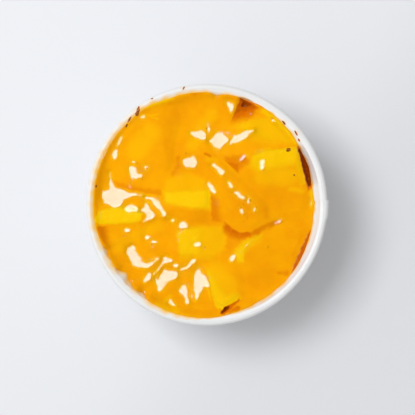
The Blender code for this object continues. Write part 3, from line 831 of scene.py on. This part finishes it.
def flesh_material():
    """Ripe mango: yellow flesh with faint fibres, under a wet film."""
    mat, nodes = new_material("mango_flesh")
    colour = fruit_colour(nodes, 70)
    fibres = nodes.ramp(nodes.noise(520, 4, 0.65), 0.45, 0.75, 0.0, 0.3)
    fibres = nodes.times(fibres, nodes.ramp(nodes.attribute("pale"), 0.55, 1.0))
    wet_finish(nodes, nodes.mix(fibres, colour, settings().chunks.fibre))
    nodes.bump(nodes.noise(900, 3, 0.6), 0.03 * MM, 0.4)
    return mat


def sauce_material(name):
    """Mango sauce with fine pulp."""
    mat, nodes = new_material(name)
    colour = fruit_colour(nodes, 90)
    pulp = nodes.ramp(nodes.noise(900, 3, 0.6), 0.5, 0.75, 0.0, 0.12)
    wet_finish(nodes, nodes.mix(pulp, colour, settings().sauce.pale))
    return mat


def paper_material(name):
    """White coated paper with faint mottling, wetted by sauce where the stain_and_bounce attribute says,
    which also paints orange light bounced from the food.
    """
    white, sauce = settings().cup.colour, settings().cup.stain_and_bounce
    mat, nodes = new_material(name)
    mottling = nodes.ramp(nodes.noise(120, 3), 0.3, 0.7, 0.0, 0.5)
    colour = nodes.mix(mottling, white, [0.97 * c for c in white])
    blots = nodes.ramp(nodes.noise(420, 3, 0.6), 0.2, 0.7, 0.85, 1.0)
    # Stain and painted bounce light from the food
    colour = nodes.mix(nodes.times(nodes.attribute("stain_and_bounce"), blots), colour, sauce)
    nodes.set(Base_Color=colour, Roughness=nodes.ramp(nodes.noise(300, 2), 0.3, 0.7, 0.36, 0.48))
    nodes.bump(nodes.noise(2400, 3, 0.6), 0.02 * MM, 0.5)
    return mat


def speck_material():
    """Dried red-brown crumbs."""
    mat, nodes = new_material("dried_speck")
    patches = nodes.ramp(nodes.noise(1500, 2), 0.35, 0.65)
    colour = nodes.mix(patches, (0.2, 0.035, 0.006), (0.42, 0.12, 0.02))
    nodes.set(Base_Color=colour, Roughness=0.9, Specular_IOR_Level=0.1)
    return mat


def turns(count):
    """Angles of a full turn, evenly spaced."""
    return np.linspace(0, 2 * math.pi, count, endpoint=False).tolist()


def lathe(name, profile, angles, shape=None):
    """A closed profile of (radius, height, side) turned round the axis. A radius of 0 is one point."""
    on_axis = [i for i, corner in enumerate(profile) if corner[0] == 0]
    points = [(0, 0, profile[i][1]) for i in on_axis]
    columns = []
    for angle in angles:
        column = []
        for i, (r, z, side) in enumerate(profile):
            if i in on_axis:
                column.append(on_axis.index(i))
                continue
            wide = shape(angle, r, z, side) if shape else r
            column.append(len(points))
            points.append((wide * math.cos(angle), wide * math.sin(angle), z))
        columns.append(column)
    faces = []
    for column, after in zip(columns, columns[1:] + columns[:1], strict=True):
        for i in range(len(profile)):
            j = (i + 1) % len(profile)
            if not (i in on_axis and j in on_axis):
                faces.append(tuple(dict.fromkeys((column[i], column[j], after[j], after[i]))))
    obj = new_object(name, points, faces)
    obj.data.set_sharp_from_angle(angle=SHARP_ANGLE)
    return obj


def cup_profile():
    """Section of the wall: up the outside, round the roll, down the inside and round the hem."""
    cup = settings().cup
    hem_floor, soft, swollen = 0.6 * MM, 0.12 * MM, 16 * MM
    channel = cup.paper + 2 * PAPER_GAP
    roll_x = RIM_RADIUS - cup.roll_radius
    roll_z = RIM_TOP - cup.roll_radius
    join = roll_z - 0.72 * cup.roll_radius
    profile = [(wall_outer(0) - soft, 0, 1), (wall_outer(soft), soft, 1)]
    profile += [(wall_outer(z), z, 1) for z in np.linspace(soft, join, 24)[1:]]
    for turn in np.radians(np.linspace(-110, 180, 34)):
        share = 0.5 + 0.5 * math.cos(turn)
        down = cup.roll_radius * (1 - math.sin(turn))
        if share < 0.5:
            down = cup.roll_radius * cup.roll_fall * math.cos(turn) ** 2
        profile.append((roll_x + cup.roll_radius * math.cos(turn), RIM_TOP - down, share))
    heights = list(np.linspace(RIM_TOP - down, roll_z - swollen, 44)[1:])
    heights += list(np.linspace(roll_z - swollen, cup.base_level, 12)[1:])
    profile += [(wall_inner(min(z, roll_z)), z, 0) for z in heights]
    profile += [
        (wall_inner(hem_floor), hem_floor, 0),
        (wall_inner(hem_floor) - channel, hem_floor, 0),
        (wall_inner(cup.hem_height) - channel, cup.hem_height, 0),
        (wall_inner(cup.hem_height) - channel - cup.paper, cup.hem_height, 0),
        (wall_inner(soft) - channel - cup.paper, soft, 0),
        (wall_inner(0) - channel - cup.paper + soft, 0, 0),
    ]
    return profile


def seam_lift(angle):
    """How far the lapped paper stands out at an angle: a step at the seam, faded out behind it."""
    cup = settings().cup
    full, end = -5.0, -9.0
    turn = (math.degrees(angle) + 180) % 360 - 180
    if turn >= math.degrees(cup.seam_angle) or turn <= end:
        return 0.0
    return cup.seam_step * float(smoothstep(end, full, turn))


def cup_shape(angle, r, z, side):
    """The lapped seam and a little wobble outside, and the thickness beside the food inside."""
    round_off = 0.5 + 0.3 * math.cos(2 * angle + 0.6) + 0.2 * math.cos(3 * angle + 2.1)
    outside = seam_lift(angle) - settings().cup.wobble * round_off * z / RIM_TOP
    return r + outside * side - wall_swelling(math.degrees(angle), z) * (1 - side)


def stain_and_bounce_at(x, y, z):
    """How strongly sauce has wetted the paper at some points: beside the food and round the specks. Beside
    the food this also paints orange light bounced from the food.
    """
    radius = np.hypot(x, y)
    around = np.degrees(np.arctan2(y, x))
    uneven = swell(x, y, 5 * MM, 21) * 0.2 * MM
    fade = np.interp(around % 360, *zip(*STAIN_AND_BOUNCE_REACH, strict=True)) * MM
    stain_and_bounce = np.clip(1 - (radius + uneven - food_edge(around)) / fade, 0, 1)
    for speck_x, speck_y, length, _, _ in SPECKS:
        away = np.hypot(x - speck_x * MM, y - speck_y * MM)
        stain_and_bounce = np.maximum(stain_and_bounce, 0.5 * np.exp(-((away / (0.5 * length * MM)) ** 2)))
    upper = (radius < RIM_RADIUS - 0.2 * MM) & (z > RIM_TOP / 2)
    inner_side = (z > RIM_TOP - settings().cup.roll_radius) | (radius < wall_inner(z) + 0.1 * MM)
    return stain_and_bounce * upper * inner_side


def make_wall():
    """Paper wall with its rolled rim, seam and hem."""
    cup = settings().cup
    clear, close = math.radians(0.3), math.radians(0.08)
    angles = [a for a in turns(cup.steps) if abs(a - cup.seam_angle) > clear]
    angles = sorted([*angles, cup.seam_angle - close, cup.seam_angle + close])
    wall = lathe("paper_cup", cup_profile(), angles, cup_shape)
    # Stain and painted bounce light, for the material
    store(wall, "stain_and_bounce", stain_and_bounce_at(*np.array([v.co for v in wall.data.vertices]).T))
    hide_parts("cup_wall")
    dress(wall, paper_material("cup_paper"))


def make_base():
    """The recessed base, turned down at its edge."""
    cup = settings().cup
    top, foot, under = cup.base_level + cup.paper, 1.0 * MM, cup.base_level
    inner = wall_inner(under) - PAPER_GAP - cup.paper
    profile = [(0, top, 0)]
    profile += [(r, top, 0) for r in np.linspace(0, wall_inner(top) - PAPER_GAP, 12)[1:]]
    profile += [
        (wall_inner(foot) - PAPER_GAP, foot, 0),
        (wall_inner(foot) - PAPER_GAP - cup.paper, foot, 0),
        (inner, under, 0),
    ]
    profile += [(r, under, 0) for r in np.linspace(inner, 0, 12)[1:]]
    base = lathe("paper_base", profile, turns(180))
    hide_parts("cup_base")
    dress(base, paper_material("base_paper"))


def remeshed(node, voxel):
    """A fine, even copy of a node's solid."""
    copy = bpy.data.objects.new(node + "_copy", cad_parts[node].data.copy())
    bpy.context.scene.collection.objects.link(copy)
    for kind, values in (
        ("WELD", {"merge_threshold": 0.01 * MM}),
        ("REMESH", {"mode": "VOXEL", "voxel_size": voxel}),
        ("SMOOTH", {"factor": 0.5, "iterations": 4}),
    ):
        modifier = copy.modifiers.new(kind.lower(), kind)
        for key, value in values.items():
            setattr(modifier, key, value)
    graph = bpy.context.evaluated_depsgraph_get()
    mesh = bpy.data.meshes.new_from_object(copy.evaluated_get(graph))
    bpy.data.objects.remove(copy)
    return mesh


def read_vectors(data, name):
    values = np.empty(len(data) * 3)
    data.foreach_get(name, values)
    return values.reshape(-1, 3)


def make_chunk(node, mat):
    """One mango chunk, whose top lies in the shared wet surface."""
    deepest, furthest = 6 * MM, 3 * MM
    wet = wet_surface()
    mesh = remeshed(node, settings().chunks.voxel)
    obj = bpy.data.objects.new(node.replace("mango_", "chunk_"), mesh)
    bpy.context.scene.collection.objects.link(obj)
    mesh.shade_smooth()
    x, y, z = read_vectors(mesh.vertices, "co").T
    upward = read_vectors(mesh.vertex_normals, "vector")[:, 2]
    bare = smoothstep(0.5, 0.62, wet.sample(wet.pale, x, y))
    target = wet.sample(wet.height, x, y)
    target = target + settings().chunks.proud * bare - settings().sauce.film * (1 - bare)
    upper = (upward > 0.2) & (z > z.max() - deepest) & (target > z - furthest)
    points = np.column_stack((x, y, np.where(upper, target, z)))
    mesh.vertices.foreach_set("co", points.ravel())
    mesh.update()
    # Colours for the material: pale with painted light and glow, deep_shade as painted shade
    store(obj, "pale", wet.sample(wet.pale_and_painted_light, x, y))
    store(obj, "deep_shade", wet.sample(wet.deep_shade, x, y))
    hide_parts(node)
    dress(obj, mat)


def disc_grid(count):
    """An even grid laid over a disc of radius 1."""
    side = np.linspace(-1, 1, count + 1)
    a, b = np.meshgrid(side, side)
    wide = np.abs(a) > np.abs(b)
    radius = np.where(wide, a, b)
    with np.errstate(divide="ignore", invalid="ignore"):
        turn = np.where(wide, math.pi / 4 * (b / a), math.pi / 2 - math.pi / 4 * (a / b))
    turn = np.nan_to_num(turn)
    return radius * np.cos(turn), radius * np.sin(turn)


def make_sauce():
    """The sauce: a wet top that runs up between the chunks, over a body that fills the cup."""
    climb, rings = 0.7 * MM, 18
    wet = wet_surface()
    count = settings().sauce.steps
    x, y = (part.ravel() for part in disc_grid(count))
    around = np.degrees(np.arctan2(y, x))
    edge = edge_level(around)
    reach = inner_radius(around, edge) + TOP_TUCK
    x, y = x * reach, y * reach
    to_wall = reach - np.hypot(x, y)
    level = wet.sample(wet.height, x, y)
    z = level + (edge - level) * np.exp(-((to_wall / climb) ** 2))
    points = np.column_stack((x, y, z)).tolist()
    index = np.arange((count + 1) ** 2).reshape(count + 1, count + 1)
    faces = np.stack((index[:-1, :-1], index[:-1, 1:], index[1:, 1:], index[1:, :-1]), -1)
    faces = faces.reshape(-1, 4).tolist()
    ring = [*index[0, :-1], *index[:-1, -1], *index[-1, :0:-1], *index[:0:-1, 0]]
    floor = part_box("sauce")[0].z
    previous = ring
    for share in np.linspace(0, 1, rings + 1)[1:]:
        following = []
        for k in ring:
            px, py, pz = points[k]
            level = pz + (floor - pz) * share
            tuck = TOP_TUCK - (TOP_TUCK + FOOT_GAP) * share
            size = (inner_radius(math.degrees(math.atan2(py, px)), level) + tuck) / math.hypot(px, py)
            following.append(len(points))
            points.append((px * size, py * size, level))
        for k in range(len(ring)):
            after = (k + 1) % len(ring)
            faces.append((previous[k], following[k], following[after], previous[after]))
        previous = following
    middle = len(points)
    faces += [(k, middle, after) for k, after in zip(previous, previous[1:] + previous[:1], strict=True)]
    points.append((0, 0, floor))
    obj = new_object("sauce_fill", points, faces)
    # Colours for the material: pale with painted light and glow, deep_shade as painted shade
    for name, field in (("pale", wet.pale_and_painted_light), ("deep_shade", wet.deep_shade)):
        values = np.zeros(len(points))
        values[: len(x)] = wet.sample(field, x, y)
        store(obj, name, values)
    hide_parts("sauce")
    dress(obj, sauce_material("mango_sauce"))


def dome(x, y, z, size, turn, segments=14, rings=6):
    """Points and faces of a flattened ball, turned about the vertical."""
    points, faces = [], []
    c, s = math.cos(turn), math.sin(turn)
    for up in (math.pi * i / rings for i in range(1, rings)):
        for round_turn in (2 * math.pi * k / segments for k in range(segments)):
            px = size[0] * math.sin(up) * math.cos(round_turn)
            py = size[1] * math.sin(up) * math.sin(round_turn)
            points.append((x + px * c - py * s, y + px * s + py * c, z + size[2] * math.cos(up)))
    top, bottom, last = len(points), len(points) + 1, (rings - 2) * segments
    points += [(x, y, z + size[2]), (x, y, z - size[2])]
    for k in range(segments):
        after = (k + 1) % segments
        faces += [(top, k, after), (bottom, last + after, last + k)]
        for a in range(0, last, segments):
            b = a + segments
            faces.append((a + k, b + k, b + after, a + after))
    return points, faces


def joined(name, shapes):
    """One object from several lists of points and faces."""
    points, faces = [], []
    for shape_points, shape_faces in shapes:
        start = len(points)
        points += shape_points
        faces += [tuple(start + i for i in face) for face in shape_faces]
    return new_object(name, points, faces)


def make_bubbles():
    """Small bubbles caught in the wet surface."""
    flat, proud = 0.45, 0.05 * MM
    wet = wet_surface()
    shapes = []
    for x, y, width in BUBBLES:
        x, y, radius = x * MM, y * MM, width / 2 * MM
        z = float(wet.sample(wet.height, np.array([x]), np.array([y]))[0])
        shapes.append(dome(x, y, z + proud, (radius, radius, flat * radius), 0))
    dress(joined("sauce_bubbles", shapes), sauce_material("bubble_sauce"))


def make_specks():
    """Dried crumbs that lie on the rim and the fruit."""
    height, rough, highest = 0.16 * MM, 0.05 * MM, RIM_TOP - 0.002 * MM
    graph = bpy.context.evaluated_depsgraph_get()
    trees = [BVHTree.FromObject(bpy.data.objects[name], graph) for name in ("paper_cup", "sauce_fill")]
    rng = np.random.default_rng(11)
    shapes = []
    for x, y, length, width, turn in SPECKS:
        size = (length / 2 * MM, width / 2 * MM, height)
        points, faces = dome(x * MM, y * MM, 0, size, math.radians(turn))
        settled = []
        for point in points:
            px, py, pz = np.array(point) + rng.normal(0, rough, 3) * (1, 1, 0.3)
            start = Vector((px, py, RIM_TOP + 5 * MM))
            hits = [tree.ray_cast(start, DOWN)[0] for tree in trees]
            settled.append((px, py, min(max(hit.z for hit in hits if hit) + pz, highest)))
        shapes.append((settled, faces))
    dress(joined("dried_specks", shapes), speck_material())


def make_floor():
    """Pale floor with painted shadow, a little darker to the lower right of the cup."""
    half = 3.0
    pale = settings().stage.floor_colour
    corners = [(-half, -half, 0), (half, -half, 0), (half, half, 0), (-half, half, 0)]
    floor = new_object("floor", corners, [(0, 1, 2, 3)])
    mat, nodes = new_material("floor_paint_and_shade")
    paint = nodes.mix(nodes.ramp(nodes.noise(3, 2), 0.3, 0.7), pale, [0.985 * c for c in pale])
    # Painted shadow: the floor darkens towards the lower right, where the cup's broad shadow falls
    shade_direction = {0: nodes.place, 1: (0.8, -0.6, 0)}
    across = nodes.add("ShaderNodeVectorMath", shade_direction, operation="DOT_PRODUCT")["Value"]
    colour = nodes.mix(nodes.ramp(across, 0.005, 0.06), paint, [0.925 * c for c in pale])
    nodes.set(Base_Color=colour, Roughness=0.7, Specular_IOR_Level=0.2)
    floor.data.materials.append(mat)


def make_light():
    """One soft light at the upper left, in a dim room that is brighter on the left."""
    stage = settings().stage
    light = bpy.data.lights.new("soft_light", "AREA")
    light.shape = "SQUARE"
    light.size = stage.light_size
    light.energy = stage.light_power
    light.color = (0.95, 0.97, 1.0)
    lamp = bpy.data.objects.new("soft_light", light)
    lamp.location = light_place()
    away = lamp.location - Vector((0, 0, RIM_TOP))
    lamp.rotation_euler = away.to_track_quat("Z", "Y").to_euler()
    bpy.context.scene.collection.objects.link(lamp)

    world = bpy.data.worlds.new("room")
    nodes = NodeBuilder(world, "Background", "Generated")
    right = nodes.add("ShaderNodeSeparateXYZ", {"Vector": nodes.place})["X"]
    ends = stage.fill * (1 + stage.lean), stage.fill * (1 - stage.lean)
    nodes.set(Strength=nodes.ramp(right, -1, 1, *ends, "LINEAR"), Color=(1.0, 0.995, 0.985, 1))
    world.cycles_visibility.glossy = False
    bpy.context.scene.world = world


def make_camera():
    """The camera, straight above the cup."""
    stage = settings().stage
    scene = bpy.context.scene
    data = bpy.data.cameras.new("camera")
    data.sensor_width = 36
    data.lens = data.sensor_width * stage.camera_height / stage.frame_width
    data.clip_start = 0.01
    camera = bpy.data.objects.new("camera", data)
    camera.location = (stage.frame_x, stage.frame_y, RIM_TOP + stage.camera_height)
    scene.collection.objects.link(camera)
    scene.camera = camera
    scene.view_settings.view_transform = "Standard"


class MANGO_OT_cup(bpy.types.Operator):
    """Make the paper cup"""

    bl_idname = "mango.cup"
    bl_label = "Paper Cup"

    def execute(self, context):
        make_wall()
        make_base()
        return {"FINISHED"}


class MANGO_OT_chunks(bpy.types.Operator):
    """Make the mango chunks"""

    bl_idname = "mango.chunks"
    bl_label = "Mango Chunks"

    def execute(self, context):
        mat = flesh_material()
        for node in CHUNK_NODES:
            make_chunk(node, mat)
        return {"FINISHED"}


class MANGO_OT_sauce(bpy.types.Operator):
    """Make the sauce round the chunks"""

    bl_idname = "mango.sauce"
    bl_label = "Mango Sauce"

    def execute(self, context):
        make_sauce()
        return {"FINISHED"}


class MANGO_OT_bubbles(bpy.types.Operator):
    """Make the bubbles in the sauce"""

    bl_idname = "mango.bubbles"
    bl_label = "Bubbles"

    def execute(self, context):
        make_bubbles()
        return {"FINISHED"}


class MANGO_OT_specks(bpy.types.Operator):
    """Make the dried specks"""

    bl_idname = "mango.specks"
    bl_label = "Dried Specks"

    def execute(self, context):
        make_specks()
        return {"FINISHED"}


class MANGO_OT_stage(bpy.types.Operator):
    """Make the floor, the light and the camera"""

    bl_idname = "mango.stage"
    bl_label = "Studio Stage"

    def execute(self, context):
        make_floor()
        make_light()
        make_camera()
        return {"FINISHED"}


OPERATORS = (
    MANGO_OT_cup, MANGO_OT_chunks, MANGO_OT_sauce, MANGO_OT_bubbles, MANGO_OT_specks, MANGO_OT_stage,
)


class VIEW3D_PT_mango_cup(bpy.types.Panel):
    bl_idname = "VIEW3D_PT_mango_cup"
    bl_label = "Mango Cup"
    bl_space_type = "VIEW_3D"
    bl_region_type = "UI"
    bl_category = "Mango Cup"

    def draw(self, context):
        for operator in OPERATORS:
            self.layout.operator(operator.bl_idname)
        for group in (settings().cup, settings().sauce, settings().chunks, settings().stage):
            box = self.layout.box()
            for name in group.__annotations__:
                box.prop(group, name)


GROUPS = (CupSettings, SauceSettings, ChunkSettings, StageSettings, MangoCupSettings)
CLASSES = (*GROUPS, *OPERATORS, VIEW3D_PT_mango_cup)


def register():
    for cls in CLASSES:
        bpy.utils.register_class(cls)
    bpy.types.Scene.mango_cup = PointerProperty(type=MangoCupSettings)


def unregister():
    del bpy.types.Scene.mango_cup
    for cls in reversed(CLASSES):
        bpy.utils.unregister_class(cls)


def plain(bounds):
    return [list(corner) for corner in bounds]


def main():
    register()
    for name in ("cup", "chunks", "sauce", "bubbles", "specks", "stage"):
        getattr(bpy.ops.mango, name)()


if __name__ == "__main__":
    main()
